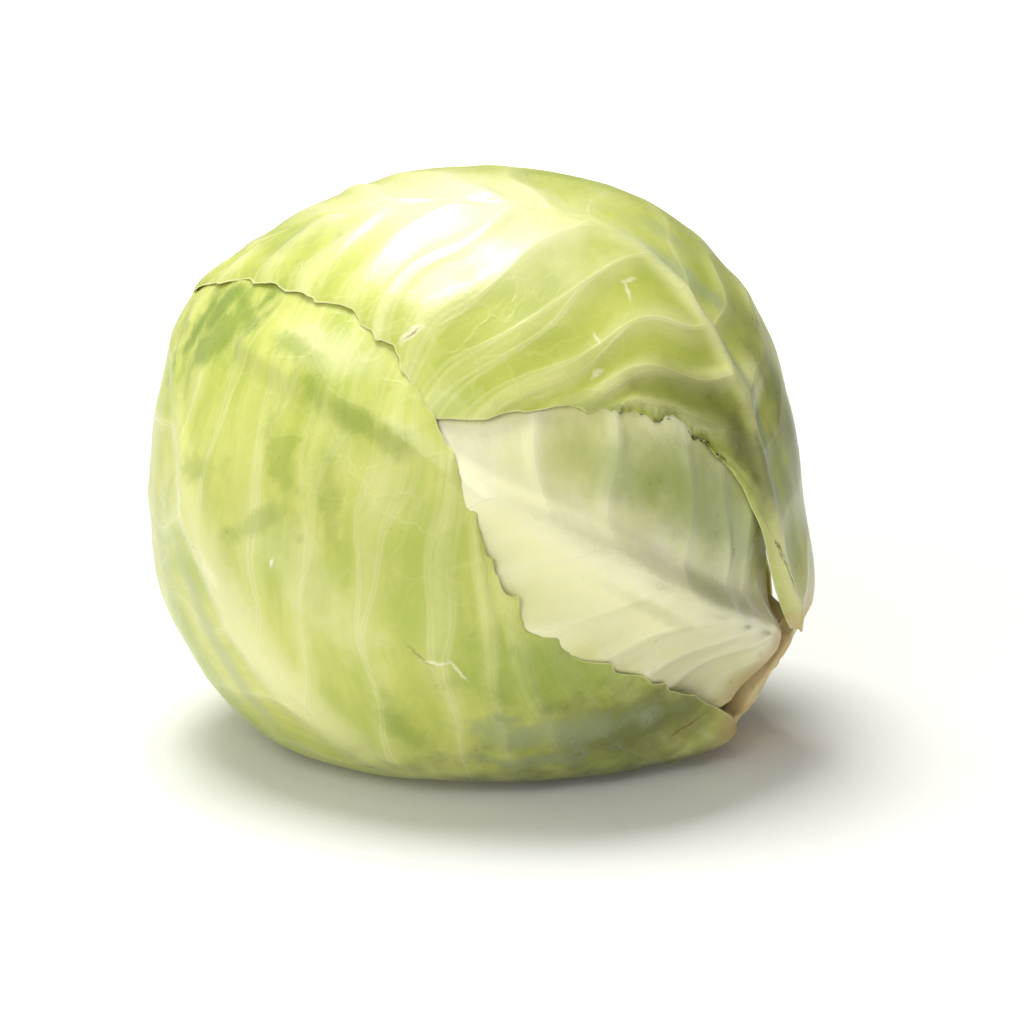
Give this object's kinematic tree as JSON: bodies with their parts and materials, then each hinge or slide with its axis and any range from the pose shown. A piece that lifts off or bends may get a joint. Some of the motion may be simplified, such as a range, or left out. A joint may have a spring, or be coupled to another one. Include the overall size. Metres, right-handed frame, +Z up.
{
  "type": "cabbage head",
  "caption": "Ball-headed white cabbage lying on its side, with overlapping wrapper leaves, a window to a pale inner leaf and a short cut stem.",
  "frame": {"origin": "bottom centre of the bounding box, on the surface the head lies on", "axes": "+Z up; +X to the stem end, so the head's own axis runs from the stem, low at +X, to the crown, high at -X; -Y is the side with the window to the inner leaf"},
  "size_m": [0.179, 0.1821, 0.1561],
  "materials": {
    "wrapper_leaf": "waxy yellow-green leaf with pale raised veins",
    "inner_leaf": "pale cream-green leaf, satin",
    "core_leaf": "near-white leaf, satin",
    "heart": "near-white packed leaves",
    "stem": "dry cut, tan and fibrous"
  },
  "bodies": {
    "root": {"wrapper_leaf_top": "wrapper_leaf", "wrapper_leaf_front": "wrapper_leaf", "wrapper_leaf_back": "wrapper_leaf", "inner_leaf_front": "inner_leaf", "inner_leaf_under": "inner_leaf", "inner_leaf_top": "inner_leaf", "core_leaf_1": "core_leaf", "core_leaf_2": "core_leaf", "core_leaf_3": "core_leaf", "core_leaf_4": "core_leaf", "heart": "heart", "stem": "stem"}
  },
  "joints": []
}
